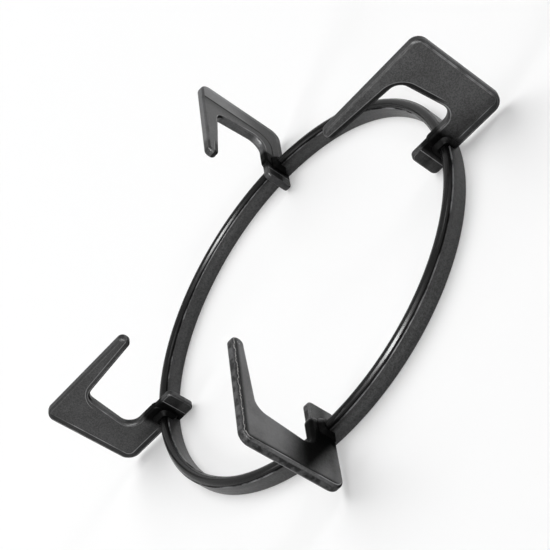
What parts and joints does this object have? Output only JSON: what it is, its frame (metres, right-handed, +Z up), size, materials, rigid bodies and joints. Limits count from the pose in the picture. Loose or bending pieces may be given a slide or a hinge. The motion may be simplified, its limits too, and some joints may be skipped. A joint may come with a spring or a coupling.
{
  "type": "hob pan support",
  "caption": "Round hob pan support: a black enamelled ring of bar on edge, with C-shaped plate fingers across it that carry the pan over a burner.",
  "frame": {"origin": "centre of the ring, on the plane of its lower edge, which rests on the hob", "axes": "+Z up towards the pan, +X and +Y along two neighbouring fingers"},
  "size_m": [0.2404, 0.2404, 0.051],
  "materials": {
    "ring_enamel": "satin black vitreous enamel, glossier on the bead along the top of the bar",
    "finger_enamel": "matt to satin black vitreous enamel with a fine speckle"
  },
  "bodies": {
    "root": {"support_ring": "ring_enamel", "finger_right": "finger_enamel", "finger_back": "finger_enamel", "finger_left": "finger_enamel", "finger_front": "finger_enamel"}
  },
  "joints": []
}
